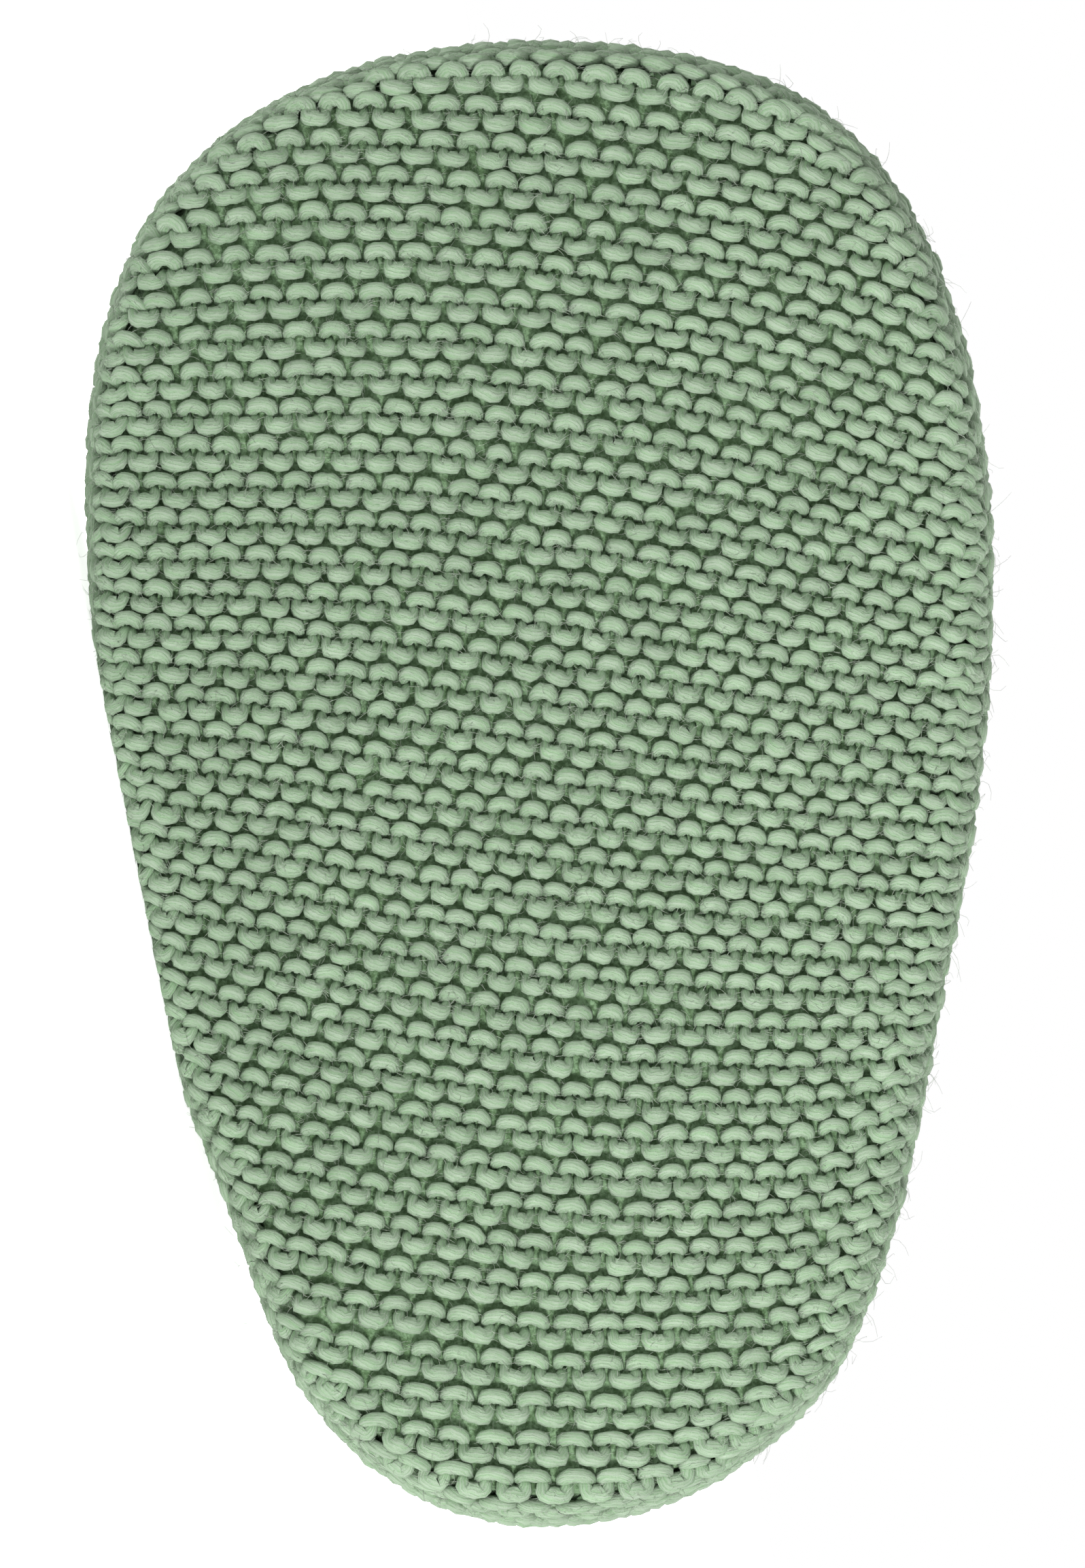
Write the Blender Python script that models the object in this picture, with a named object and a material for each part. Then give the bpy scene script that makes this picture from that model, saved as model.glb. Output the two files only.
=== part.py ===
"""A knitted baby slipper: garter-stitch sole, hollow upper and felt insole, lying on its side.

The slipper is modelled in its own frame, sole down: toe towards -X, heel towards +X, +Z up,
in metres. An empty then lays it on its left side, where its soft wall is pressed flat.
"""
import math
from collections import namedtuple

import bmesh
import bpy
import numpy as np
from mathutils import Matrix, Vector

# Driving sizes, in metres
outer_length = 0.1144        # toe to heel, over the upper
ball_width = 0.0700          # across the widest part
instep_height = 0.0430       # underside to the front of the collar
heel_height = 0.0480         # underside to the back of the collar
collar_length = 0.0480       # opening, toe to heel, over the wall
collar_width = 0.0395        # opening, side to side, over the wall
collar_setback = 0.0060      # heel end of the outline to the back of the collar
wall = 0.0026                # knitted wall of the upper
bind_off = 0.0004            # extra thickness, each way, of the bound-off collar edge
sole_thickness = 0.0030
sole_roll = 0.0024           # radius of the sole's rolled lower edge
sole_rim = 0.0003            # radius of the sole's upper edge, under the wall
toe_spring = 0.0024          # rise of the underside at the toe tip
heel_spring = 0.0010         # rise of the underside at the heel end
insole_thickness = 0.0018
insole_edge = 0.0006         # radius of the insole's edges
clearance = 0.0003           # between pieces that touch
sole_setback = 0.0004        # sole's edge, inside the upper's outline
foot_setback = 0.0005        # lower edge of the upper, inside the upper's outline
press = 0.0006               # how far the knit gives way on the floor

# Shares of the driving sizes
toe_share = 0.30             # length that the toe spring takes
heel_share = 0.16            # length that the heel spring takes
seat_share = 0.12            # part of the wall's rise over which it stands up from its level seat
rim_share = 0.93             # part of the wall's rise above which it is bound off
middle_shares = (0.35, 0.7)  # rings between the middle of a slab and its edge

# Fineness of the faceted solids
around = 72                  # points in each ring
up_wall = 12                 # rings from the sole to the collar
round_steps = 4              # rings round an edge
nudge = 0.001                # step that a surface's direction is taken over

# Finishes
sage = (0.33, 0.43, 0.30)
pale_sage = (0.35, 0.45, 0.32)
felt_green = (0.46, 0.50, 0.40)
wool_roughness = 0.95

# Outline from beneath. along: toe 0, heel 1, of outer_length. left, right: of ball_width.
Section = namedtuple("Section", "along left right")
OUTLINE = [
    Section(0.0000, 0.000, 0.000),
    Section(0.0245, 0.242, 0.249),
    Section(0.0955, 0.409, 0.387),
    Section(0.2061, 0.486, 0.462),
    Section(0.3455, 0.499, 0.495),
    Section(0.5000, 0.480, 0.482),
    Section(0.6545, 0.425, 0.437),
    Section(0.7939, 0.340, 0.390),
    Section(0.9045, 0.268, 0.316),
    Section(0.9755, 0.152, 0.176),
    Section(1.0000, 0.000, 0.000),
]

# Wall from sole to collar. turn: toe 0, heel 180 degrees. rise, drop: of instep_height.
# bulge: of ball_width. reach: of outer_length.
Wall = namedtuple("Wall", "turn rise bulge reach drop")
PROFILE = [
    Wall(0, 0.62, 0.085, 0.270, 0.34),
    Wall(45, 0.60, 0.070, 0.180, 0.34),
    Wall(90, 0.52, -0.010, 0.090, 0.30),
    Wall(135, 0.48, 0.016, 0.035, 0.36),
    Wall(180, 0.44, 0.045, 0.012, 0.38),
]


def clear_scene():
    for item in list(bpy.data.objects):
        bpy.data.objects.remove(item, do_unlink=True)


def wool(name, colour):
    material = bpy.data.materials.new(name)
    material.use_nodes = True
    shader = material.node_tree.nodes["Principled BSDF"]
    shader.inputs["Base Color"].default_value = (*colour, 1.0)
    shader.inputs["Roughness"].default_value = wool_roughness
    shader.inputs["Metallic"].default_value = 0.0
    material.diffuse_color = (*colour, 1.0)
    return material


def unit(vectors):
    return vectors / np.linalg.norm(vectors, axis=-1, keepdims=True)


def smooth_step(value):
    value = np.clip(value, 0.0, 1.0)
    return value * value * (3.0 - 2.0 * value)


def round_curve(knots, values, at):
    """Smooth closed curve of values at knots round one full turn, read at any turns."""
    knots = np.concatenate([np.asarray(knots) + lap * 2 * math.pi for lap in (-1, 0, 1)])
    values = np.tile(values, 3)
    slopes = np.gradient(values, knots)
    place = np.clip(np.searchsorted(knots, at, side="right") - 1, 0, len(knots) - 2)
    span = knots[place + 1] - knots[place]
    t = (at - knots[place]) / span
    start = (1 + 2 * t) * (1 - t) ** 2 * values[place] + t * (1 - t) ** 2 * span * slopes[place]
    end = t * t * (3 - 2 * t) * values[place + 1] - t * t * (1 - t) * span * slopes[place + 1]
    return start + end


def outline(turn, inset=0.0):
    """Points of the outline at each turn, toe 0, left side first, moved inwards by inset."""
    half = [math.acos(1.0 - 2.0 * row.along) for row in OUTLINE]
    knots = half[:-1] + [2 * math.pi - angle for angle in half[:0:-1]]
    sides = [row.left for row in OUTLINE[:-1]] + [-row.right for row in OUTLINE[:0:-1]]
    before, here, after = (
        np.column_stack([-np.cos(angle) * outer_length / 2,
                         round_curve(knots, sides, angle) * ball_width])
        for angle in (turn - nudge, turn, turn + nudge))
    along = after - before
    outward = unit(np.column_stack([-along[:, 1], along[:, 0]]))
    return here - outward * inset, outward


def underside(x):
    """Height of the sole's underside over its middle."""
    toe_start = outer_length * (toe_share - 0.5)
    heel_start = outer_length * (0.5 - heel_share)
    toe = np.clip((toe_start - x) / (outer_length * toe_share), 0.0, None)
    heel = np.clip((x - heel_start) / (outer_length * heel_share), 0.0, None)
    return toe_spring * toe ** 2 + heel_spring * heel ** 2


def ring(turn, inset, height):
    """A ring of points at a height over the underside."""
    flat, _ = outline(turn, inset)
    return np.column_stack([flat, underside(flat[:, 0]) + height])


def shrunk(points, share):
    """The ring drawn in towards the middle of the sole, on the same rise."""
    result = points.copy()
    result[:, :2] *= share
    result[:, 2] += underside(result[:, 0]) - underside(points[:, 0])
    return result


def bezier(start, first, second, end, t):
    return ((1 - t) ** 3 * start + 3 * t * (1 - t) ** 2 * first
            + 3 * t * t * (1 - t) * second + t ** 3 * end)


def upper_face(turn, rise):
    """Outer face of the upper: rise 0 at the sole, 1 at the collar."""
    seat = sole_thickness + clearance
    foot, outward = outline(turn, foot_setback)
    start = np.column_stack([foot, underside(foot[:, 0]) + seat])
    rows = PROFILE + PROFILE[-2:0:-1]
    knots = np.radians([row.turn for row in PROFILE] + [360 - row.turn for row in PROFILE[-2:0:-1]])
    column = {name: round_curve(knots, [getattr(row, name) for row in rows], turn)
              for name in ("rise", "bulge", "reach", "drop")}
    centre = outer_length / 2 - collar_setback - collar_length / 2
    height = (heel_height + instep_height) / 2 - np.cos(turn) * (heel_height - instep_height) / 2
    end = np.column_stack([centre - np.cos(turn) * collar_length / 2,
                           np.sin(turn) * collar_width / 2, height])
    open_out = unit(np.column_stack([-np.cos(turn) * collar_width, np.sin(turn) * collar_length]))
    first = start + np.column_stack([outward * column["bulge"][:, None] * ball_width,
                                     column["rise"] * instep_height])
    second = end + np.column_stack([open_out * column["reach"][:, None] * outer_length,
                                    -column["drop"] * instep_height])
    return bezier(start, first, second, end, rise)


def upper_rings(turn):
    """Rings up the outer face, over the bound-off edge and down the inner face."""
    _, level = outline(turn)
    level = np.column_stack([level, np.zeros(len(turn))])
    outer, inner = [], []
    for rise in np.linspace(0.0, 1.0, up_wall + 1):
        here = upper_face(turn, rise)
        along = upper_face(turn + nudge, rise) - upper_face(turn - nudge, rise)
        up = upper_face(turn, min(rise + nudge, 1.0)) - upper_face(turn, max(rise - nudge, 0.0))
        stand = smooth_step(rise / seat_share)
        normal = unit(unit(np.cross(up, along)) * stand + level * (1.0 - stand))
        thicker = bind_off * smooth_step((rise - rim_share) / (1.0 - rim_share))
        outer.append(here + normal * thicker)
        inner.append(here - normal * (wall + thicker))
    middle = (outer[-1] + inner[-1]) / 2
    half = outer[-1] - middle
    crown = unit(up) * (wall / 2 + bind_off)
    over = [middle + half * math.cos(angle) + crown * math.sin(angle)
            for angle in np.linspace(0.0, math.pi, round_steps + 1)[1:-1]]
    return outer + over + inner[::-1]


def slab_rings(turn, inset, low, high, lower_edge, upper_edge):
    """Rings of a foot-shaped slab, from the middle of its underside round to its top."""
    rings = []
    for angle in np.linspace(0.0, math.pi / 2, round_steps + 1):
        rings.append(ring(turn, inset + lower_edge * (1 - math.sin(angle)),
                          low + lower_edge * (1 - math.cos(angle))))
    for angle in np.linspace(0.0, math.pi / 2, round_steps // 2 + 1):
        rings.append(ring(turn, inset + upper_edge * (1 - math.cos(angle)),
                          high - upper_edge * (1 - math.sin(angle))))
    below = [shrunk(rings[0], share) for share in middle_shares]
    above = [shrunk(rings[-1], share) for share in reversed(middle_shares)]
    return below + rings + above


def resting_down(points, centre_of_mass):
    """Direction that points down when the slipper lies on its left side, its weight lowest."""
    lean, swing, step = 0.0, 0.0, 0.1

    def down(tip, slew):
        return unit(np.array([slew, 1.0, tip]))

    def height(pair):
        direction = down(*pair)
        return np.max(points @ direction) - centre_of_mass @ direction

    while step > nudge / 10:
        tries = [(lean, swing), (lean + step, swing), (lean - step, swing),
                 (lean, swing + step), (lean, swing - step)]
        best = min(tries, key=height)
        if best == (lean, swing):
            step /= 2
        lean, swing = best
    return down(lean, swing)


def mesh_from_rings(name, rings, ring_closed):
    """Skin over the rings: closed round like a tube's wall, or capped by a fan at each end."""
    shape = bmesh.new()
    loops = [[shape.verts.new(point) for point in points] for points in rings]
    pairs = list(zip(loops, loops[1:]))
    if ring_closed:
        pairs.append((loops[-1], loops[0]))
    for lower, upper in pairs:
        for here in range(len(lower)):
            after = (here + 1) % len(lower)
            shape.faces.new((lower[here], lower[after], upper[after], upper[here]))
    if not ring_closed:
        for loop in (loops[0], loops[-1]):
            middle = shape.verts.new(sum((vert.co for vert in loop), Vector()) / len(loop))
            for here in range(len(loop)):
                shape.faces.new((loop[here], loop[(here + 1) % len(loop)], middle))
    bmesh.ops.recalc_face_normals(shape, faces=shape.faces)
    mesh = bpy.data.meshes.new(name)
    shape.to_mesh(mesh)
    shape.free()
    return mesh


def volume_and_moment(mesh):
    """Volume of a closed mesh, and its volume times the place of its middle."""
    mesh.calc_loop_triangles()
    points = np.array([vert.co for vert in mesh.vertices])
    corners = points[np.array([triangle.vertices for triangle in mesh.loop_triangles])]
    volumes = np.einsum("ij,ij->i", corners[:, 0], np.cross(corners[:, 1], corners[:, 2])) / 6
    return volumes.sum(), (volumes[:, None] * corners.sum(axis=1) / 4).sum(axis=0)


def pressed(mesh, down, floor):
    """Push what lies past the floor back to it, as the floor does to soft knit."""
    for vert in mesh.vertices:
        past = vert.co.dot(down) - floor
        if past > 0.0:
            vert.co -= down * past


def lying_frame(down):
    """Rotation from the slipper's frame to the floor's."""
    up = -down
    along = Vector((1.0, 0.0, 0.0))
    along = (along - up * along.dot(up)).normalized()
    return Matrix((along, up.cross(along), up)).to_4x4()


def slipper_meshes():
    """The meshes of sole, upper and insole, in the slipper's own frame."""
    turn = np.linspace(0.0, 2 * math.pi, around, endpoint=False)
    insole_low = sole_thickness + clearance
    insole_inset = foot_setback + wall + clearance
    sole = slab_rings(turn, sole_setback, 0.0, sole_thickness, sole_roll, sole_rim)
    insole = slab_rings(turn, insole_inset, insole_low, insole_low + insole_thickness,
                        insole_edge, insole_edge)
    return {
        "sole": mesh_from_rings("sole", sole, False),
        "upper": mesh_from_rings("upper", upper_rings(turn), True),
        "insole": mesh_from_rings("insole", insole, False),
    }


def lay_down(meshes):
    """Press the meshes flat where they lie, and return the pose that lays them on the floor."""
    measured = [volume_and_moment(mesh) for mesh in meshes]
    centre_of_mass = sum(moment for _, moment in measured) / sum(volume for volume, _ in measured)
    points = np.array([vert.co for mesh in meshes for vert in mesh.vertices])
    direction = resting_down(points, centre_of_mass)
    floor = np.max(points @ direction) - press
    down = Vector(direction)
    for mesh in meshes:
        pressed(mesh, down, floor)
    rotation = lying_frame(down)
    corners = np.array([rotation @ vert.co for mesh in meshes for vert in mesh.vertices])
    middle = (corners.min(axis=0) + corners.max(axis=0)) / 2
    return Matrix.Translation((-middle[0], -middle[1], floor)) @ rotation


def main():
    clear_scene()
    collection = bpy.data.collections.new("knitted_slipper")
    bpy.context.scene.collection.children.link(collection)
    meshes = slipper_meshes()
    finishes = {
        "sole": wool("sole_wool", sage),
        "upper": wool("upper_wool", pale_sage),
        "insole": wool("insole_felt", felt_green),
    }
    pose = bpy.data.objects.new("lying_pose", None)
    pose.matrix_world = lay_down(meshes.values())
    collection.objects.link(pose)
    for name, mesh in meshes.items():
        mesh.shade_smooth()
        mesh.materials.append(finishes[name])
        piece = bpy.data.objects.new(name, mesh)
        piece.parent = pose
        collection.objects.link(piece)
    bpy.context.view_layer.update()


main()
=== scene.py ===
"""Looks of a knitted baby slipper: garter-stitch yarn over its solids, a felt insole and loose fibres.

Lengths are in metres. The slipper's own directions are along (towards the heel), side (its left,
seen from beneath with the toe up) and rise (from the sole towards the collar). It lies on its left
side, and the camera looks square at the sole with the toe at the top of the picture.
"""
import math
from collections import namedtuple

import bpy
import numpy as np
from mathutils import Matrix, Vector
from mathutils.bvhtree import BVHTree


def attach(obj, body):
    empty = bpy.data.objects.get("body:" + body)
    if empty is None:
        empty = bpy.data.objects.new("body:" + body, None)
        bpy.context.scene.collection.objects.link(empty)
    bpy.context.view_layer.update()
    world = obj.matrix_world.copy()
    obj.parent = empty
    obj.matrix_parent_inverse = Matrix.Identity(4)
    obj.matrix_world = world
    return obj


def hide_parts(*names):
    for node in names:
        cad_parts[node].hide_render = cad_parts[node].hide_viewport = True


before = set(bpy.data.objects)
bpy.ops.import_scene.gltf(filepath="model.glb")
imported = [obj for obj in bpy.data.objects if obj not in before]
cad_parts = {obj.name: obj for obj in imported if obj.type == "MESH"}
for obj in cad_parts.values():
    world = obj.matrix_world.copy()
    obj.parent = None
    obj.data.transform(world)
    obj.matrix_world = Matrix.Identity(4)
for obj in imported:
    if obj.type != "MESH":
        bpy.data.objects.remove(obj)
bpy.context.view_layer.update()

mm = 0.001
weld_distance = 0.00001              # between corners of the solids that are one

# How the slipper lies
heel_down = math.radians(11.25)      # slope of its length, down towards the heel
sole_up = math.radians(1.07)         # turn of the sole's face, up from level
middle = np.array([0.29, -24.49, 32.16]) * mm  # mid-length, on the underside

# Knitting
pitch = 3.03 * mm                    # from ridge to ridge
first_ridge = -57.7 * mm             # ridge at the toe, on the middle line
ridge_count = 41
stitch_width = 2.45 * mm             # width that the stitch is modelled at
proud = 0.3 * mm                     # crests over the solid's face
row_shift = 0.257                    # of the pitch: from a ridge's middle to its upper row
lower_shift = 0.285                  # of the pitch: from a ridge's middle to its lower row
fine_fibre = 0.038 * mm
coarse_fibre = 0.055 * mm
lumps = 0.035 * mm                   # unevenness of the yarn's surface
yarn_flatness = 0.85                 # of the yarn's width: its thickness
yarn_start = 40.0                    # most millimetres at which a stitch's yarn pattern starts
ground_depth = 1.25 * mm             # ground of the knitting, coloured darker as painted shade, under the solid's face
swell = 0.6 * mm                     # how much further the upper's stitches stand out
roll = 2.4 * mm                      # radius of the sole's lower edge
skirt = 0.4 * mm                     # knitting of the sole past its rolled edge
edge_lift = 0.8 * mm                 # height over the underside where the edge's stitches begin
columns_each_way = 20                # of the middle line, more than the sole is wide
settling = 6                         # times that a stitch's place is worked out, each time closer

# Unevenness of hand knitting
size_spread = 0.045                  # of a stitch's size
swing_spread = math.radians(5.0)
slide_spread = 0.06 * mm             # along and across the ridge
stand_spread = 0.05 * mm             # out of the knitting

# Least heights over the floor
yarn_height = 0.05 * mm
fibre_height = 0.03 * mm

# Half a stitch from its crest to its end, in millimetres: along the ridge, across it and out of the
# knitting, and the yarn's radius. The lower one lies in front of the upper one's ends.
Bend = namedtuple("Bend", "ahead toward outward radius")
UPPER_BENDS = [
    Bend(0.00, 0.00, 0.00, 0.64),
    Bend(0.26, -0.02, -0.03, 0.64),
    Bend(0.46, -0.10, -0.12, 0.62),
    Bend(0.64, -0.27, -0.34, 0.55),
    Bend(0.74, -0.58, -0.80, 0.44),
    Bend(0.70, -0.95, -1.40, 0.29),
]
LOWER_BENDS = [
    Bend(0.00, 0.00, 0.00, 0.70),
    Bend(0.30, 0.02, -0.01, 0.70),
    Bend(0.50, -0.01, -0.06, 0.66),
    Bend(0.64, -0.18, -0.18, 0.53),
    Bend(0.72, -0.56, -0.40, 0.41),
    Bend(0.70, -1.04, -0.80, 0.28),
]

# Ridges across the sole, in millimetres. at: place on the middle line. The others: how much nearer
# to the heel the ridge lies 30, 20 and 10 mm to the left, and 10, 20 and 30 mm to the right.
Ridge = namedtuple("Ridge", "at left_30 left_20 left_10 right_10 right_20 right_30")
RIDGES = [
    Ridge(-57.7, 9.00, 3.00, 0.50, 0.80, 4.40, 10.00),
    Ridge(-54.7, 3.00, 0.40, -0.05, 1.05, 3.70, 8.00),
    Ridge(-48.6, 0.80, -0.62, -0.60, 1.30, 3.40, 6.80),
    Ridge(-33.3, -0.30, -0.80, -0.84, 1.42, 3.80, 7.10),
    Ridge(-15.2, -1.90, -1.75, -1.22, 1.50, 3.45, 5.30),
    Ridge(2.9, -3.95, -2.93, -1.42, 1.20, 2.25, 3.00),
    Ridge(15.2, -5.35, -3.30, -1.45, 0.80, 1.22, 1.60),
    Ridge(27.4, -5.80, -3.30, -1.35, 0.62, 0.47, -1.60),
    Ridge(39.7, -6.10, -3.10, -1.25, 0.20, -0.55, -3.30),
    Ridge(51.9, -9.00, -3.60, -0.80, -0.20, -2.10, -7.00),
    Ridge(57.8, -14.00, -6.50, -1.60, -1.20, -5.50, -13.00),
]
RIDGE_KNOTS = np.array([-30, -20, -10, 0, 10, 20, 30]) * mm  # right of the middle line

# Columns of stitches, in millimetres. at: place along the sole. first: a gap between two stitches,
# right of the middle line. width: from one stitch to the next.
Column = namedtuple("Column", "at first width")
COLUMNS = [
    Column(-58.0, 1.90, 2.93),
    Column(-54.7, 1.58, 2.89),
    Column(-45.4, -0.58, 2.81),
    Column(-36.3, -2.10, 2.76),
    Column(-27.4, -3.26, 2.64),
    Column(-18.3, -3.99, 2.54),
    Column(-9.1, -4.83, 2.50),
    Column(0.0, -5.51, 2.47),
    Column(9.1, -6.20, 2.44),
    Column(18.2, -7.04, 2.46),
    Column(27.4, -7.67, 2.52),
    Column(36.6, -8.35, 2.62),
    Column(45.7, -9.35, 2.86),
    Column(54.9, -10.20, 3.20),
]

# Upper
side_rounds = 9                      # ridges worked up from the sole, before those of the instep
most_rounds = 40                     # of the instep, more than it needs
first_side_round = 0.35              # of the pitch: over the upper's lower edge
first_collar_round = 0.3             # of the pitch: under the collar
overlap = 0.5                        # of the pitch: how far instep rounds reach into the side
fewest_lines = 4                     # of the wall, past which a part round is worked
round_width = 2.6 * mm               # stitch width on the upper
hub = np.array([27.2, 0.0, 14.0]) * mm  # inside the heel, under the middle of the collar
seat_height = 3.3 * mm               # lower edge of the upper over the underside
rim_front = np.array([3.2, 43.0]) * mm  # along, rise: front of the collar
rim_back = np.array([51.2, 48.0]) * mm  # along, rise: back of the collar
rim_lift = 1.6 * mm                  # bound-off edge over the last round
seam_inset = 0.2 * mm                # seam inside the sole's outline
inside_depth = 0.3 * mm              # stitches inside, under the wall's face
seam_depth = 0.45 * mm

# Roots of loose fibres, in millimetres from a crest: along the ridge, across it, into the knitting
CREST_REACH = (0.85, 0.55)           # each way, along and across
crest_round = 0.25                   # how far the yarn falls away at the ends of those
Spread = namedtuple("Spread", "middle each_way")
GAP_AHEAD = Spread(0.75, 0.3)
GAP_TOWARD = Spread(-0.2, 0.6)
GAP_DEPTH = Spread(0.45, 0.4)
gap_turn = 0.6                       # radians by which a fibre's heading strays from the ridge
SAG = (0.1, 0.5)                     # least and most that a fibre's climb loses at each joint
tip_share = 0.45                     # of a fibre's thickness, at its tip
aside = 0.3                          # keeps a fibre that stands straight out from lying flat
fibre_spacing = 0.3 * mm             # between joints, in the yarn coordinates

# Picture
picture_height = 121.1 * mm          # of the frame, where the slipper is
picture_middle = 0.16 * mm           # middle of the picture, towards the heel
camera_distance = 1.0
sensor = 24.0                        # millimetres

# Studio
shoe_front = (0.0, -0.02, 0.03)
shoe_middle = (0.0, 0.0, 0.03)
floor_radius = 3.0
horizon_end = 0.06                   # upward part of a direction where the white starts to fade
overhead_start = 0.8                 # upward part past which it is at its weakest
overhead_strength = 0.5

# Sockets of a Mix node that mixes colours
mix_share, mix_first, mix_second, mix_result = 0, 6, 7, 2

chance = np.random.default_rng(20)

along = np.array([math.cos(heel_down), 0.0, -math.sin(heel_down)])
rise = np.array([-math.sin(sole_up) * math.sin(heel_down), math.cos(sole_up),
                 -math.sin(sole_up) * math.cos(heel_down)])
side = np.cross(rise, along)
axes = np.array([along, side, rise])


def to_slipper(points):
    return (points - middle) @ axes.T


def to_floor(points):
    return points @ axes + middle


def unit(vectors):
    return vectors / np.linalg.norm(vectors, axis=-1, keepdims=True)


def dots(first, second):
    """Dot product of each pair of rows."""
    return np.einsum("ij,ij->i", first, second)


def square_to(vectors, normals):
    """What of each vector lies square to its normal."""
    return vectors - normals * dots(vectors, normals)[:, None]


def full_turn(count):
    """Evenly spaced angles of one full turn."""
    return np.linspace(0.0, 2 * math.pi, count, endpoint=False)


def run_along(line):
    """How far along a line each of its points lies."""
    return np.concatenate([[0.0], np.cumsum(np.linalg.norm(np.diff(line, axis=0), axis=1))])


def read_along(places, run, values):
    """Rows of values at places along a line, where run says how far along each row lies."""
    return np.column_stack([np.interp(places, run, values[:, axis])
                            for axis in range(values.shape[1])])


def curve(knots, values, at):
    """Smooth curve through values at knots, straight past its ends. values: one column for each at."""
    slopes = np.gradient(values, knots, axis=0)
    place = np.clip(np.searchsorted(knots, at, side="right") - 1, 0, len(knots) - 2)
    rows = np.arange(len(at))
    low, high = values[place, rows], values[place + 1, rows]
    low_slope, high_slope = slopes[place, rows], slopes[place + 1, rows]
    span = knots[place + 1] - knots[place]
    t = np.clip((at - knots[place]) / span, 0.0, 1.0)
    inside = ((1 + 2 * t) * (1 - t) ** 2 * low + t * (1 - t) ** 2 * span * low_slope
              + t * t * (3 - 2 * t) * high - t * t * (1 - t) * span * high_slope)
    before = np.minimum(at - knots[0], 0.0) * low_slope
    after = np.maximum(at - knots[-1], 0.0) * high_slope
    return inside + before + after


def select_only(piece):
    bpy.ops.object.select_all(action="DESELECT")
    piece.select_set(True)
    bpy.context.view_layer.objects.active = piece


def put_on(piece, material):
    piece.data.materials.clear()
    piece.data.materials.append(material)
    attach(piece, "root")


def merged_copy(node, name):
    """A copy of a solid whose loose triangles are joined into one smooth skin."""
    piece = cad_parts[node].copy()
    piece.data = piece.data.copy()
    piece.name = name
    piece.parent = None
    bpy.context.scene.collection.objects.link(piece)
    select_only(piece)
    bpy.ops.object.mode_set(mode="EDIT")
    bpy.ops.mesh.select_all(action="SELECT")
    bpy.ops.mesh.remove_doubles(threshold=weld_distance)
    bpy.ops.mesh.tris_convert_to_quads()
    bpy.ops.object.mode_set(mode="OBJECT")
    bpy.ops.object.shade_smooth()
    return piece


def ground(node, name, depth):
    """The ground of the knitting, which shows between the stitches, coloured darker than the yarn as
    painted shade.
    """
    piece = merged_copy(node, name)
    bpy.ops.object.mode_set(mode="EDIT")
    bpy.ops.mesh.select_all(action="SELECT")
    bpy.ops.transform.shrink_fatten(value=-depth, use_even_offset=True)
    bpy.ops.object.mode_set(mode="OBJECT")
    return piece


def skin_of(node, height=None):
    """A solid's faces in the slipper's own directions, to be measured with rays.

    Where the sole's height is given, the skin is levelled by it.
    """
    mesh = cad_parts[node].data
    points = to_slipper(np.array([vert.co for vert in mesh.vertices]))
    if height is not None:
        points[:, 2] -= height(points[:, 0])
    return BVHTree.FromPolygons(points.tolist(), [tuple(face.vertices) for face in mesh.polygons])


class Sole:
    """The sole's lower face, unrolled: flat inside its rolled edge, then down over the edge."""

    measured_to = 54.0               # millimetres each way from mid-length
    heights_measured = 109
    rays_below = 20.0 * mm
    rays_outside = 100.0 * mm
    widest = 2.55 * mm               # height over the underside where the outline is measured
    outline_rays = 720
    outline_points = 900
    easing = 5

    def __init__(self):
        skin = skin_of("sole")
        self.stations = np.linspace(-self.measured_to, self.measured_to,
                                    self.heights_measured) * mm
        heights = [skin.ray_cast(Vector((x, 0.0, -self.rays_below)), Vector((0, 0, 1)))[0].z
                   for x in self.stations]
        self.heights = np.array(heights)
        level = skin_of("sole", self.height)
        outline = []
        for turn in full_turn(self.outline_rays):
            out = Vector((-math.cos(turn), math.sin(turn), 0.0))
            start = out * self.rays_outside + Vector((0.0, 0.0, self.widest))
            outline.append(level.ray_cast(start, -out)[0][:2])
        self.outline = smoothed(resampled(np.array(outline), self.outline_points), self.easing)
        ahead = np.roll(self.outline, -1, axis=0) - np.roll(self.outline, 1, axis=0)
        self.outward = unit(np.column_stack([-ahead[:, 1], ahead[:, 0]]))
        self.flat_edge = self.outline - self.outward * roll

    def height(self, x):
        return np.interp(x, self.stations, self.heights)

    def past_edge(self, flat):
        """How far points of the unrolled sole lie past its flat part, and which way that is."""
        gaps = flat[:, None, :] - self.flat_edge[None, :, :]
        near = np.argmin((gaps ** 2).sum(axis=2), axis=1)
        outward = self.outward[near]
        return dots(flat - self.flat_edge[near], outward), outward

    def laid(self, flat, *directions):
        """Points and directions of the unrolled sole as they lie on it, with the face's normals."""
        # over: how far past the flat part. angle: how far round the rolled edge. down: how far past it.
        past, outward = self.past_edge(flat)
        over = np.clip(past, 0.0, None)
        angle = np.clip(over / roll, 0.0, math.pi / 2)
        down = over - angle * roll
        foot = flat - outward * over[:, None]
        reach = foot + outward * (roll * np.sin(angle))[:, None]
        lift = roll * (1 - np.cos(angle)) + down
        points = np.column_stack([reach, self.height(foot[:, 0]) + lift])
        slope = (self.height(foot[:, 0] + mm) - self.height(foot[:, 0] - mm)) / (2 * mm)
        level = np.column_stack([outward, slope * outward[:, 0]])
        upright = np.array([0.0, 0.0, 1.0])
        normals = unit(level * np.sin(angle)[:, None] - upright * np.cos(angle)[:, None]
                       + np.column_stack([slope, slope * 0, slope * 0]) * np.cos(angle)[:, None])
        laid = []
        for direction in directions:
            ahead = square_to(direction, outward)
            bent = level * np.cos(angle)[:, None] + upright * np.sin(angle)[:, None]
            bent = (bent * dots(direction, outward)[:, None]
                    + np.column_stack([ahead, slope * ahead[:, 0]]))
            laid.append(unit(square_to(bent, normals)))
        return points, normals, laid


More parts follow.
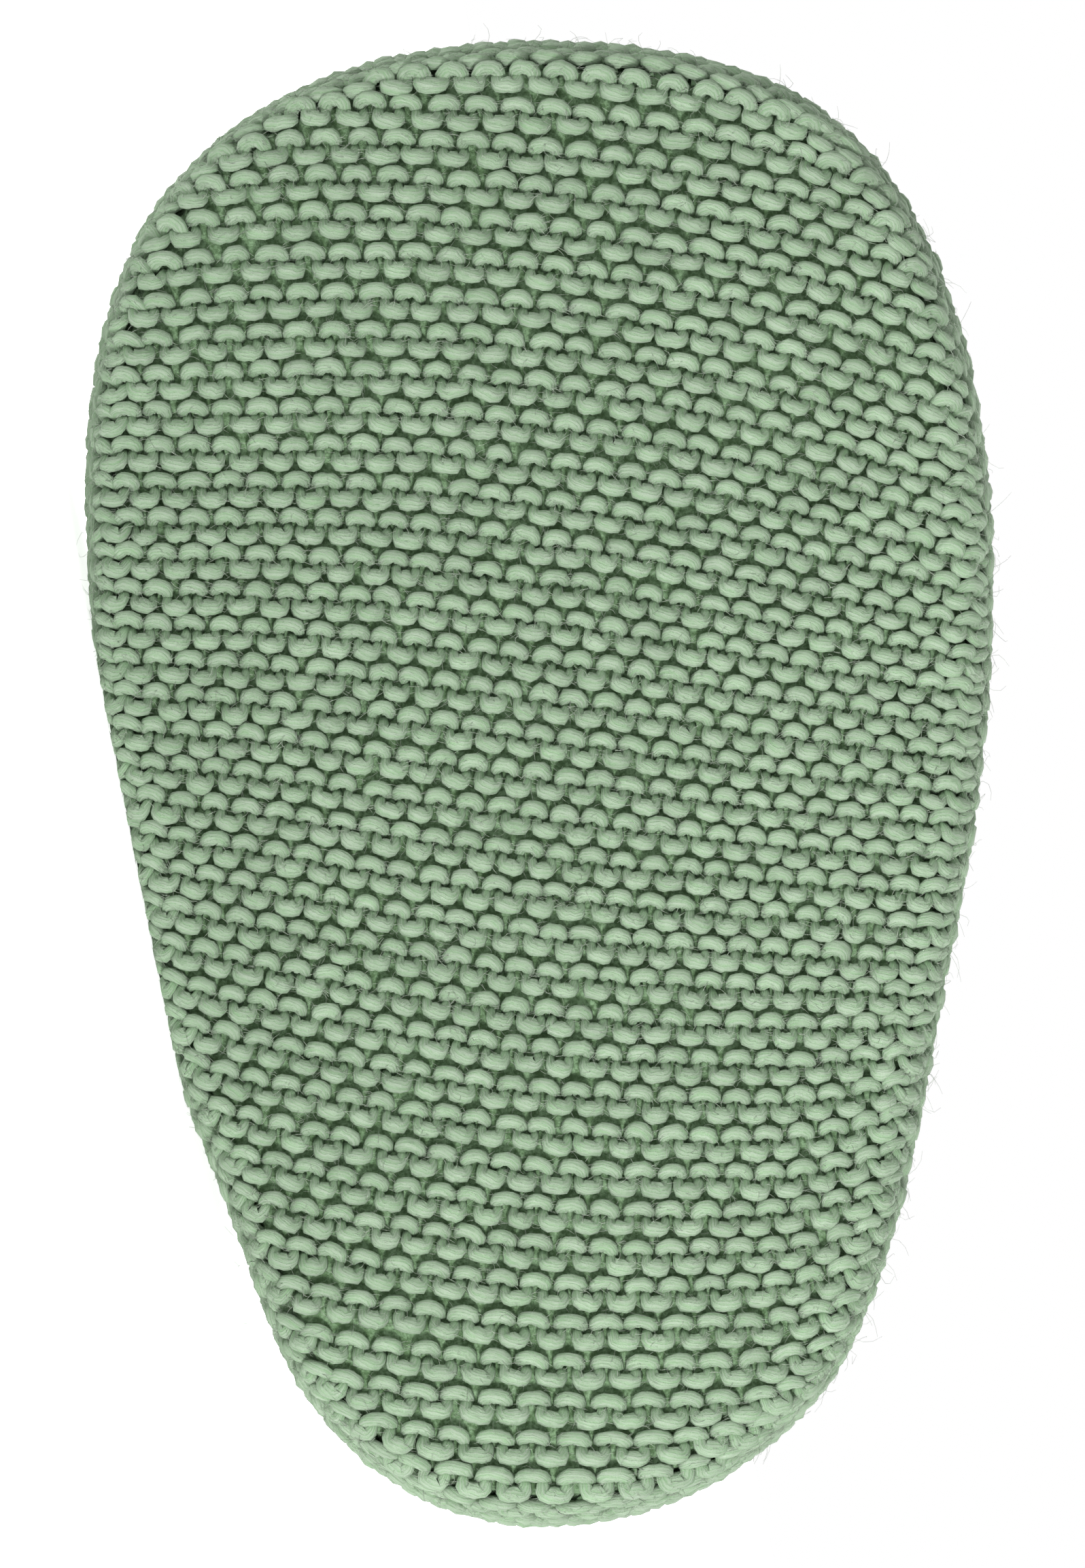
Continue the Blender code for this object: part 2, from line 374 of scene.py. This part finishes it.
def resampled(points, count):
    """A closed line of count evenly spaced points."""
    loop = np.vstack([points, points[:1]])
    run = run_along(loop)
    return read_along(np.linspace(0.0, run[-1], count, endpoint=False), run, loop)


def smoothed(points, times):
    """A closed line with its corners eased."""
    for _ in range(times):
        points = (np.roll(points, 1, axis=0) + 2 * points + np.roll(points, -1, axis=0)) / 4
    return points


# Places of stitches: where each crest lies, its directions, its width and whether it is a lower one
Places = namedtuple("Places", "points ahead toward outward width lower")


def joined(several):
    return Places(*[np.concatenate(values) for values in zip(*several)])


def chosen(places, part):
    return Places(*[values[part] for values in places])


def ridge_offset(at, right):
    """How much nearer to the heel a ridge lies at a distance right of the middle line."""
    table = np.array(RIDGES)
    knots = table[:, 0] * mm
    columns = [curve(knots, np.repeat(table[:, [column]] * mm, len(at), axis=1), at)
               for column in range(1, table.shape[1])]
    values = np.array(columns[:3] + [np.zeros(len(at))] + columns[3:])
    return curve(RIDGE_KNOTS, values, right)


def sole_places(sole):
    """Stitches of the sole: in each ridge an upper and a lower row, half a stitch apart."""
    table = np.array(COLUMNS) * mm
    ridges = np.arange(ridge_count)
    columns = np.arange(-columns_each_way, columns_each_way + 1)
    found = []
    for half, facing, shift in ((0.0, 1.0, row_shift), (0.5, -1.0, lower_shift)):
        number, column = [grid.ravel() for grid in
                          np.meshgrid(ridges, columns + half, indexing="ij")]
        at = first_ridge + number * pitch
        place = at.copy()
        for _ in range(settling):
            right = (np.interp(place, table[:, 0], table[:, 1])
                     + column * np.interp(place, table[:, 0], table[:, 2]))
            place = at + ridge_offset(at, right)
        width = np.interp(place, table[:, 0], table[:, 2])
        tilt = (ridge_offset(at, right + mm) - ridge_offset(at, right - mm)) / (2 * mm)
        ahead = unit(np.column_stack([tilt, -np.ones(len(tilt))]))
        toward = np.column_stack([ahead[:, 1], -ahead[:, 0]])
        flat = np.column_stack([place, -right]) + toward * (shift * pitch * facing)
        past, _ = sole.past_edge(flat)
        keep = past < roll * math.pi / 2 + skirt + row_shift * pitch
        flat, ahead, toward, width = flat[keep], ahead[keep], toward[keep], width[keep]
        points, normals, (ahead, toward) = sole.laid(flat, ahead * facing, toward * facing)
        found.append(Places(points, ahead, toward, normals, width,
                            np.full(len(width), facing < 0.0)))
    return joined(found)


class Wall:
    """One face of the upper's wall, as lines that run up from the sole to the collar."""

    lines = 240
    steps = 90
    tilts = np.radians(np.linspace(-40.0, 82.0, 260))
    rays_outside = 120.0 * mm
    level = 0.9                      # upward part of a normal that belongs to the level lower edge
    margin = 0.1 * mm
    easing = 6

    def __init__(self, sole, outer):
        skin = skin_of("upper")
        rows, lengths = [], []
        for turn in full_turn(self.lines):
            line = []
            for tilt in self.tilts:
                out = Vector((-math.cos(turn) * math.cos(tilt), math.sin(turn) * math.cos(tilt),
                              math.sin(tilt)))
                start = Vector(hub) + (out * self.rays_outside if outer else Vector())
                point, normal, _, _ = skin.ray_cast(start, -out if outer else out)
                if point is None or (point - Vector(hub)).dot(out) < 0.0:
                    continue
                low = sole.height(np.array([point.x]))[0] + seat_height
                rim = np.interp(point.x, [rim_front[0], rim_back[0]], [rim_front[1], rim_back[1]])
                at_seat = abs(normal.z) > self.level and point.z < low + mm
                if low - self.margin < point.z < rim and not at_seat:
                    line.append(point[:])
            line = np.array(line)
            run = run_along(line)
            rows.append(read_along(np.linspace(0.0, run[-1], self.steps), run, line))
            lengths.append(run[-1])
        self.points = smoothed(np.array(rows), self.easing)
        self.lengths = smoothed(np.array(lengths), self.easing)
        around = np.roll(self.points, -1, axis=0) - np.roll(self.points, 1, axis=0)
        up = np.gradient(self.points, axis=1)
        self.up = unit(up)
        self.outward = unit(np.cross(up, around)) * (1.0 if outer else -1.0)

    def round_at(self, distances):
        """Points, upward directions and normals at a distance up each line."""
        share = np.clip(distances / self.lengths, 0.0, 1.0) * (self.steps - 1)
        low = np.clip(share.astype(int), 0, self.steps - 2)
        part = (share - low)[:, None]
        rows = np.arange(self.lines)
        return [values[rows, low] * (1 - part) + values[rows, low + 1] * part
                for values in (self.points, self.up, self.outward)]


def round_places(line, up, outward, closed):
    """Stitches of one ridge along a line on the upper: two rows, half a stitch apart."""
    if closed:
        line, up, outward = (np.vstack([values, values[:1]]) for values in (line, up, outward))
    run = run_along(line)
    count = max(2, round(run[-1] / round_width))
    found = []
    for half, facing in ((0.25, 1.0), (0.75, -1.0)):
        places = (np.arange(count) + half) / count * run[-1]
        point, toward, normal = (read_along(places, run, values) for values in (line, up, outward))
        normal = unit(normal)
        toward = unit(square_to(toward, normal)) * facing
        point = point + toward * row_shift * pitch
        found.append(Places(point, np.cross(toward, normal), toward, normal,
                            np.full(count, run[-1] / count), np.full(count, facing < 0.0)))
    return joined(found)


def wall_places(wall):
    """Ridges worked up from the sole, then those of the instep, which follow the collar."""
    found = []
    for number in range(side_rounds):
        distance = np.full(wall.lines, (number + first_side_round) * pitch)
        found.append(round_places(*wall.round_at(distance), True))
    top = side_rounds * pitch
    for number in range(most_rounds):
        distance = wall.lengths - (number + first_collar_round) * pitch
        open_part = distance > top - overlap * pitch
        if not open_part.any():
            break
        parts = wall.round_at(distance)
        if open_part.all():
            found.append(round_places(*parts, True))
            continue
        start = int(np.flatnonzero(~open_part & np.roll(open_part, -1))[0]) + 1
        order = (start + np.arange(int(open_part.sum()))) % wall.lines
        order = order[open_part[order]]
        if len(order) > fewest_lines:
            found.append(round_places(*[values[order] for values in parts], False))
    return joined(found)


def seam_places(sole):
    """The round that joins the upper to the sole, low between the two."""
    line = np.column_stack([sole.outline - sole.outward * seam_inset,
                            sole.height(sole.outline[:, 0]) + seat_height])
    up = np.tile([0.0, 0.0, 1.0], (len(line), 1))
    return round_places(line, up, np.column_stack([sole.outward, up[:, 0]]), True)


def rim_places(outer, inner):
    """The bound-off edge: one ridge along the top of the collar."""
    outside, outside_up, _ = outer.round_at(outer.lengths)
    inside, inside_up, _ = inner.round_at(inner.lengths)
    outward = unit(unit(outside_up) + unit(inside_up))
    across = unit(square_to(unit(outside - inside), outward))
    line = (outside + inside) / 2 + outward * rim_lift
    return round_places(line, across, outward, True)


def stitch(bends, sides, steps):
    """One loop of yarn, thickest at its crest, that dives into the knitting at both ends.

    Points of its rings: first axis along the ridge, second across it, third out of the knitting.
    """
    bends = np.array(bends) * mm
    share = np.linspace(-1.0, 1.0, steps + 1)
    place = np.abs(share) * (len(bends) - 1)
    ahead, toward, outward, radius = (np.interp(place, np.arange(len(bends)), bends[:, column])
                                      for column in range(4))
    line = np.column_stack([ahead * np.sign(share), toward,
                            outward + proud - radius.max() * yarn_flatness])
    tangent = unit(np.gradient(line, axis=0))
    lean = np.array([0.0, outward.min(), -toward.min()])
    lean = unit(lean - tangent * (tangent @ lean)[:, None])
    over = np.cross(lean, tangent)
    around = full_turn(sides)
    rings = (line[:, None, :]
             + radius[:, None, None] * (np.cos(around)[None, :, None] * -over[:, None, :]
                                        + np.sin(around)[None, :, None] * lean[:, None, :]
                                        * yarn_flatness))
    return rings.reshape(-1, 3)


def tube_mesh(name, points, count, rings, sides, spacing, values):
    """Closed tubes, one after the other, with yarn coordinates: along in millimetres, around 0 to 1.

    values: named numbers, one for each point.
    """
    ring, corner = [grid.ravel() for grid in
                    np.meshgrid(np.arange(rings - 1), np.arange(sides), indexing="ij")]
    after = (corner + 1) % sides
    quads = np.column_stack([ring * sides + corner, (ring + 1) * sides + corner,
                             (ring + 1) * sides + after, ring * sides + after])
    first_end = np.arange(sides)
    last_end = (rings - 1) * sides + np.arange(sides)[::-1]
    each = np.arange(count)[:, None] * (rings * sides)
    corners = np.concatenate([(quads.ravel()[None, :] + each).ravel(),
                              (first_end[None, :] + each).ravel(),
                              (last_end[None, :] + each).ravel()])
    sizes = np.concatenate([np.full(len(quads) * count, 4), np.full(2 * count, sides)])
    mesh = bpy.data.meshes.new(name)
    mesh.vertices.add(len(points))
    mesh.vertices.foreach_set("co", points.astype(np.float32).ravel())
    mesh.loops.add(len(corners))
    mesh.loops.foreach_set("vertex_index", corners.astype(np.int32))
    mesh.polygons.add(len(sizes))
    starts = np.concatenate([[0], np.cumsum(sizes)[:-1]])
    mesh.polygons.foreach_set("loop_start", starts.astype(np.int32))
    mesh.polygons.foreach_set("loop_total", sizes.astype(np.int32))
    mesh.update(calc_edges=True)
    quad_along = np.column_stack([ring, ring + 1, ring + 1, ring]) * (spacing / mm)
    quad_around = np.column_stack([corner, corner, corner + 1, corner + 1]) / sides
    yarn = np.zeros((len(corners), 2))
    yarn[:quads.size * count, 0] = np.tile(quad_along.ravel(), count)
    yarn[:quads.size * count, 1] = np.tile(quad_around.ravel(), count)
    yarn[:, 0] += np.repeat(chance.uniform(0.0, yarn_start, count), rings * sides)[corners]
    mesh.uv_layers.new(name="yarn").data.foreach_set("uv", yarn.astype(np.float32).ravel())
    for label, numbers in values.items():
        mesh.attributes.new(label, "FLOAT", "POINT").data.foreach_set(
            "value", numbers.astype(np.float32))
    mesh.polygons.foreach_set("use_smooth", np.ones(len(sizes), bool))
    mesh.validate()
    piece = bpy.data.objects.new(name, mesh)
    bpy.context.scene.collection.objects.link(piece)
    return piece


def knit(name, places, sides, steps, sunk=0.0):
    """Yarn over a piece: a stitch at each place, as uneven as hand knitting.

    sides, steps: faces round the yarn and along each stitch. sunk: depth under the usual crests.
    """
    count = len(places.points)
    uneven = chance.normal(0.0, 1.0, (count, 7))
    size = 1.0 + size_spread * uneven[:, :3]
    size[:, 0] *= places.width / stitch_width
    upper, lower = (stitch(bends, sides, steps) for bends in (UPPER_BENDS, LOWER_BENDS))
    local = np.where(places.lower[:, None, None], lower, upper) * size[:, None, :]
    swing = swing_spread * uneven[:, 3]
    ahead = places.ahead * np.cos(swing)[:, None] + places.toward * np.sin(swing)[:, None]
    toward = places.toward * np.cos(swing)[:, None] - places.ahead * np.sin(swing)[:, None]
    at = (places.points + ahead * (slide_spread * uneven[:, 4])[:, None]
          + toward * (slide_spread * uneven[:, 5])[:, None]
          + places.outward * (stand_spread * uneven[:, 6] - sunk)[:, None])
    points = (at[:, None] + local[..., :1] * ahead[:, None] + local[..., 1:2] * toward[:, None]
              + local[..., 2:] * places.outward[:, None]).reshape(-1, 3)
    points = to_floor(points + chance.normal(0.0, lumps, points.shape))
    points[:, 2] = np.maximum(points[:, 2], yarn_height)
    # Painted shade: 0 at the crest, rising to 1 at the ends that dive into the knitting; the yarn's
    # material darkens by it
    end_shade = np.repeat(np.abs(np.linspace(-1.0, 1.0, steps + 1)), sides)
    tone = np.repeat(chance.normal(0.0, 1.0, count), len(end_shade))
    return tube_mesh(name, points, count, steps + 1, sides, stitch_width / steps,
                     {"end_shade": np.tile(end_shade, count), "tone": tone})


def fibres(name, places, count, joints, thickness, lengths, climb, curl, across_gaps=False):
    """Loose curly fibres over the yarn's crests, or over the dark gaps between stitches.

    lengths: shortest and longest. climb: how steeply they leave the knitting, low and high. curl:
    radians by which the heading turns at each joint, as a spread.
    """
    sides = 3
    picked = chosen(places, chance.integers(0, len(places.points), count))
    slide = chance.uniform(-1.0, 1.0, (count, 3))
    heading = chance.uniform(0.0, 2 * math.pi, count)
    if across_gaps:
        ahead = np.sign(slide[:, 0]) * GAP_AHEAD.middle + slide[:, 0] * GAP_AHEAD.each_way
        toward = slide[:, 1] * GAP_TOWARD.each_way + GAP_TOWARD.middle
        sunk = slide[:, 2] * GAP_DEPTH.each_way + GAP_DEPTH.middle
        heading = np.where(slide[:, 0] > 0.0, 0.0, math.pi) + chance.normal(0.0, gap_turn, count)
    else:
        ahead, toward = (slide[:, :2] * CREST_REACH).T
        sunk = crest_round * (slide[:, :2] ** 2).sum(axis=1)
    start = (picked.points + picked.ahead * (ahead * mm)[:, None]
             + picked.toward * (toward * mm)[:, None]
             + picked.outward * (proud - sunk * mm)[:, None])
    step = chance.uniform(*lengths, count) / (joints - 1)
    bend = chance.normal(0.0, curl, count)
    climb = chance.uniform(*climb, count)
    sag = chance.uniform(*SAG, count)
    line = [start]
    for _ in range(joints - 1):
        direction = unit(picked.ahead * np.cos(heading)[:, None]
                         + picked.toward * np.sin(heading)[:, None]
                         + picked.outward * climb[:, None])
        line.append(line[-1] + direction * step[:, None])
        heading = heading + bend
        climb = climb - sag
    line = np.stack(line, axis=1)
    tangent = unit(np.gradient(line, axis=1))
    across = unit(np.cross(tangent, (picked.outward + aside * picked.ahead)[:, None]))
    over = np.cross(across, tangent)
    radius = thickness / 2 * np.linspace(1.0, tip_share, joints)
    around = full_turn(sides)
    rings = (line[:, :, None] + radius[None, :, None, None]
             * (np.cos(around)[None, None, :, None] * across[:, :, None]
                + np.sin(around)[None, None, :, None] * over[:, :, None]))
    points = to_floor(rings.reshape(-1, 3))
    points[:, 2] = np.maximum(points[:, 2], fibre_height)
    tone = np.repeat(chance.normal(0.0, 1.0, count), joints * sides)
    return tube_mesh(name, points, count, joints, sides, fibre_spacing,
                     {"end_shade": np.zeros(len(points)), "tone": tone})


class Wire:
    """A value that runs between shader nodes. Arithmetic on it adds Math nodes."""

    def __init__(self, socket):
        self.socket = socket

    def __add__(self, other):
        return combined("ADD", self, other)

    def __radd__(self, other):
        return combined("ADD", other, self)

    def __sub__(self, other):
        return combined("SUBTRACT", self, other)

    def __rsub__(self, other):
        return combined("SUBTRACT", other, self)

    def __mul__(self, other):
        return combined("MULTIPLY", self, other)

    def __rmul__(self, other):
        return combined("MULTIPLY", other, self)

    def __truediv__(self, other):
        return combined("DIVIDE", self, other)

    def __rtruediv__(self, other):
        return combined("DIVIDE", other, self)

    def __pow__(self, other):
        return combined("POWER", self, other)

    def __rpow__(self, other):
        return combined("POWER", other, self)


def combined(operation, *values):
    """A Math node on values, of which one at least is a Wire."""
    tree = next(value.socket.id_data for value in values if isinstance(value, Wire))
    node = tree.nodes.new("ShaderNodeMath")
    node.operation = operation
    for number, value in enumerate(values):
        fill(node.inputs[number], value)
    return Wire(node.outputs[0])


def fill(socket, value):
    """Sets a socket to a value, or links it."""
    if isinstance(value, Wire):
        socket.id_data.links.new(value.socket, socket)
    else:
        socket.default_value = value


class Finish:
    """A material being made, with what is the same all over set on its shader."""

    def __init__(self, name, **constants):
        self.material = bpy.data.materials.new(name)
        self.material.use_nodes = True
        self.tree = self.material.node_tree
        self.shader = self.tree.nodes["Principled BSDF"]
        for label, value in constants.items():
            self.shader.inputs[label.replace("_", " ")].default_value = value

    def node(self, kind, settings=None, inputs=None, output=0):
        """One node of a kind, its settings first and then its sockets; returns one output."""
        node = self.tree.nodes.new("ShaderNode" + kind)
        for label, value in (settings or {}).items():
            setattr(node, label, value)
        for label, value in (inputs or {}).items():
            fill(node.inputs[label], value)
        return Wire(node.outputs[output])

    def place(self):
        """Where on the slipper a point lies."""
        return self.node("TexCoord", output="Object")

    def noise(self, vector, scale, detail=3.0, roughness=0.6):
        return self.node("TexNoise", inputs={"Vector": vector, "Scale": scale, "Detail": detail,
                                             "Roughness": roughness})

    def ramp(self, value, low, high):
        """value between low and high, drawn out to 0 and 1 with soft ends."""
        return self.node("MapRange", {"interpolation_type": "SMOOTHSTEP"},
                         {"Value": value, "From Min": low, "From Max": high})

    def mixed(self, share, first, second):
        """Colour first where share is 0, second where it is 1."""
        node = self.tree.nodes.new("ShaderNodeMix")
        node.data_type = "RGBA"
        fill(node.inputs[mix_share], share)
        fill(node.inputs[mix_first], first)
        fill(node.inputs[mix_second], second)
        return Wire(node.outputs[mix_result])

    def relief(self, height, distance, strength=1.0, under=None):
        inputs = {"Height": height, "Distance": distance, "Strength": strength}
        if under is not None:
            inputs["Normal"] = under
        return self.node("Bump", inputs=inputs)

    def feed(self, label, wire):
        fill(self.shader.inputs[label], wire)


def colour(red, green, blue):
    return (red, green, blue, 1.0)


def yarn_finish(name, light, dark, end_shade_colour):
    """Soft plied wool: strands that run along the yarn with a slight twist, and short fuzz; painted
    shade darkens the grooves between the plies and the ends of the stitches.
    """
    finish = Finish(name, Sheen_Weight=0.12, Sheen_Roughness=0.5, Specular_IOR_Level=0.2)
    finish.shader.inputs["Sheen Tint"].default_value = colour(0.85, 0.95, 0.82)
    yarn = finish.node("UVMap", {"uv_map": "yarn"})
    split = finish.tree.nodes.new("ShaderNodeSeparateXYZ")
    fill(split.inputs["Vector"], yarn)
    length, around = Wire(split.outputs["X"]), Wire(split.outputs["Y"])
    end_shade = finish.node("Attribute", {"attribute_name": "end_shade"}, output="Fac")
    tone = finish.node("Attribute", {"attribute_name": "tone"}, output="Fac")
    place = finish.place()
    # Strands along the yarn, and plies that twist round it
    fibre_place = finish.node("CombineXYZ", inputs={"X": length * 0.55,
                                                    "Y": around * 15.0 + length * 1.3,
                                                    "Z": tone * 3.0})
    strands = finish.noise(fibre_place, scale=1.0, roughness=0.65)
    wander = around * 12.0 + length * 0.8 + strands * 2.4
    plies = finish.node("Math", {"operation": "SINE"}, {0: wander * (2 * math.pi)}) * 0.5 + 0.5
    fuzz = finish.noise(place, scale=8500.0, roughness=0.8)
    patches = finish.noise(place, scale=260.0, detail=2.0, roughness=0.5)
    # Light fibres mixed at random with darker ones, over grooves darkened as painted shade, and painted
    # shade on the ends that dive into the knitting
    grooves = finish.ramp(plies, 0.0, 0.55)
    mottle_and_shade = (finish.ramp(strands * 0.45 + fuzz * 0.55, 0.36, 0.62) * 0.7
           + grooves * 0.3 - (1.0 - grooves) * end_shade * 0.45)
    body = finish.mixed(mottle_and_shade, colour(*dark), colour(*light))
    worn = finish.node("HueSaturation", inputs={"Color": body,
                                                "Value": 0.86 + patches * 0.2 + tone * 0.03})
    # Painted shade: towards the ends that dive into the knitting, the colour turns to a darker green
    end_shade_mask = finish.ramp(end_shade + (fuzz - 0.5) * 0.6, 0.60, 1.10)
    finish.feed("Base Color", finish.mixed(end_shade_mask * 0.85, worn, colour(*end_shade_colour)))
    finish.feed("Roughness", 0.86 + fuzz * 0.12)
    soft = finish.relief(grooves * 0.35 + strands * 0.65, distance=0.10 * mm, strength=0.9)
    finish.feed("Normal", finish.relief(fuzz, distance=0.09 * mm, strength=0.9, under=soft))
    return finish.material


def ground_finish(name, light, dark):
    """What shows between the stitches: tangled fibres, in wool coloured darker than the yarn as painted
    shade.
    """
    finish = Finish(name, Specular_IOR_Level=0.1, Sheen_Weight=0.1)
    place = finish.place()
    tangle = finish.noise(place, scale=2600.0, detail=4.0, roughness=0.75)
    threads = finish.noise(place, scale=1300.0)
    finish.feed("Base Color", finish.mixed(finish.ramp(tangle * 0.6 + threads * 0.4, 0.38, 0.66),
                                           colour(*dark), colour(*light)))
    finish.feed("Roughness", 0.9 + tangle * 0.08)
    finish.feed("Normal", finish.relief(tangle, distance=0.3 * mm))
    return finish.material


def felt_finish(name, light, dark):
    """Thin pressed felt: matted fibres, a few of them lighter."""
    finish = Finish(name, Specular_IOR_Level=0.15, Sheen_Weight=0.25)
    place = finish.place()
    stretched = finish.node("Mapping", inputs={"Vector": place, "Scale": (1.0, 1.0, 2.4),
                                               "Rotation": (0.3, 0.8, 0.2)})
    matted = finish.noise(stretched, scale=1500.0, detail=5.0, roughness=0.7)
    flecks = finish.ramp(finish.noise(stretched, scale=3400.0, detail=2.0), 0.62, 0.74)
    cloud = finish.noise(place, scale=90.0, detail=2.0, roughness=0.5)
    body = finish.mixed(finish.ramp(matted * 0.7 + cloud * 0.3, 0.34, 0.66), colour(*dark),
                        colour(*light))
    finish.feed("Base Color", finish.mixed(flecks * 0.35, body, colour(0.72, 0.76, 0.62)))
    finish.feed("Roughness", 0.88 + matted * 0.1)
    finish.feed("Normal", finish.relief(matted, distance=0.25 * mm, strength=0.8))
    return finish.material


def floor_finish():
    """Smooth pale card that gives off a little light, so that it comes out as white as the world."""
    finish = Finish("floor_card", Specular_IOR_Level=0.1, Emission_Strength=0.8,
                    Emission_Color=colour(1.0, 1.0, 1.0))
    place = finish.place()
    grain = finish.noise(place, scale=400.0, roughness=0.5)
    finish.feed("Base Color", finish.mixed(grain, colour(0.93, 0.93, 0.93),
                                           colour(0.95, 0.95, 0.95)))
    finish.feed("Roughness", 0.85 + grain * 0.1)
    return finish.material


def insole():
    """The loose felt sole inside, as a smooth copy of its solid."""
    piece = merged_copy("insole", "insole_felt_pad")
    felt = felt_finish("insole_felt", light=(0.50, 0.57, 0.43), dark=(0.37, 0.44, 0.31))
    put_on(piece, felt)
    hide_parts("insole")


def stage_floor():
    bpy.ops.object.select_all(action="DESELECT")
    bpy.ops.mesh.primitive_circle_add(vertices=96, radius=floor_radius, fill_type="NGON")
    floor = bpy.context.object
    floor.name = "floor"
    floor.data.materials.append(floor_finish())


def light(name, place, target, size, power):
    """A square softbox at a place, turned to a target."""
    data = bpy.data.lights.new(name, "AREA")
    data.shape = "SQUARE"
    data.size = size
    data.energy = power
    lamp = bpy.data.objects.new(name, data)
    lamp.location = place
    lamp.rotation_euler = (Vector(target) - Vector(place)).to_track_quat("-Z", "Y").to_euler()
    bpy.context.scene.collection.objects.link(lamp)


def lights():
    """White all round, weaker from above, with a small softbox in front and a large one behind."""
    world = bpy.data.worlds.new("studio")
    world.use_nodes = True
    tree = world.node_tree
    background = tree.nodes["Background"]
    background.inputs["Color"].default_value = colour(1.0, 1.0, 1.0)
    direction = tree.nodes.new("ShaderNodeTexCoord")
    split = tree.nodes.new("ShaderNodeSeparateXYZ")
    fade = tree.nodes.new("ShaderNodeMapRange")
    tree.links.new(direction.outputs["Generated"], split.inputs["Vector"])
    tree.links.new(split.outputs["Z"], fade.inputs["Value"])
    for label, value in (("From Min", horizon_end), ("From Max", overhead_start),
                         ("To Min", 1.0), ("To Max", overhead_strength)):
        fade.inputs[label].default_value = value
    tree.links.new(fade.outputs["Result"], background.inputs["Strength"])
    bpy.context.scene.world = world
    bpy.context.scene.view_settings.view_transform = "Standard"
    light("key_softbox", (0.28, -0.50, 0.045), shoe_front, size=0.1, power=2.8)
    light("fill_softbox", (0.25, 0.75, 0.80), shoe_middle, size=0.6, power=11.0)


def camera():
    """Square at the sole, with the toe at the top of the picture."""
    data = bpy.data.cameras.new("camera")
    data.sensor_fit = "VERTICAL"
    data.sensor_height = sensor
    data.lens = sensor * camera_distance / picture_height
    data.clip_start = 0.01
    viewer = bpy.data.objects.new("camera", data)
    place = middle + along * picture_middle - rise * camera_distance
    turned = Matrix(np.column_stack([-side, -along, -rise]).tolist())
    viewer.matrix_world = Matrix.Translation(place) @ turned.to_4x4()
    bpy.context.scene.collection.objects.link(viewer)
    bpy.context.scene.camera = viewer


def main():
    camera()
    lights()
    stage_floor()
    insole()
    # The sage wool's third colour is painted shade, for the ends of the stitches that go into the
    # knitting
    wool = yarn_finish("sage_wool", light=(0.305, 0.372, 0.287), dark=(0.210, 0.332, 0.190),
                       end_shade_colour=(0.16, 0.28, 0.14))
    loose = yarn_finish("loose_fibres", light=(0.60, 0.68, 0.56), dark=(0.42, 0.51, 0.39),
                        end_shade_colour=(0.42, 0.51, 0.39))
    # Painted shade: the ground between the stitches is wool coloured darker than the yarn
    shaded = ground_finish("shaded_wool", light=(0.28, 0.43, 0.25), dark=(0.105, 0.185, 0.085))
    sole = Sole()
    stitches = sole_places(sole)
    at_toe = stitches.points[:, 0] < 0.0
    for name, part in (("sole_knit_toe", at_toe), ("sole_knit_heel", ~at_toe)):
        put_on(knit(name, chosen(stitches, part), sides=7, steps=10), wool)
    sole_ground = ground("sole", "sole_ground", ground_depth)
    put_on(sole_ground, shaded)
    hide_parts("sole")
    outer, inner = Wall(sole, True), Wall(sole, False)
    outside, inside = wall_places(outer), wall_places(inner)
    leftward = outside.points[:, 1] > 0.0
    for name, part in (("upper_knit_left", leftward), ("upper_knit_right", ~leftward)):
        put_on(knit(name, chosen(outside, part), sides=6, steps=6, sunk=-swell), wool)
    for piece in (
            knit("upper_knit_inside", inside, sides=4, steps=4, sunk=inside_depth),
            knit("collar_edge", rim_places(outer, inner), sides=8, steps=8),
            knit("seam", seam_places(sole), sides=5, steps=6, sunk=seam_depth)):
        put_on(piece, wool)
    upper_ground = ground("upper", "upper_ground", ground_depth - swell)
    put_on(upper_ground, shaded)
    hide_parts("upper")
    put_on(fibres("sole_fuzz", stitches, count=2600, joints=5, thickness=fine_fibre,
                  lengths=(0.5 * mm, 1.8 * mm), climb=(0.0, 0.4), curl=0.5), loose)
    put_on(fibres("sole_gap_fibres", stitches, count=8500, joints=3, thickness=coarse_fibre,
                  lengths=(0.4 * mm, 1.0 * mm), climb=(-0.1, 0.25), curl=0.3, across_gaps=True),
           loose)
    put_on(fibres("upper_fuzz", outside, count=2000, joints=5, thickness=fine_fibre,
                  lengths=(0.6 * mm, 2.2 * mm), climb=(0.0, 1.0), curl=0.5), loose)
    on_edge = stitches.points[:, 2] - sole.height(stitches.points[:, 0]) > edge_lift
    put_on(fibres("edge_fibres", chosen(stitches, on_edge), count=800, joints=5,
                  thickness=fine_fibre, lengths=(1.0 * mm, 3.4 * mm), climb=(0.1, 1.4), curl=0.8),
           loose)


main()
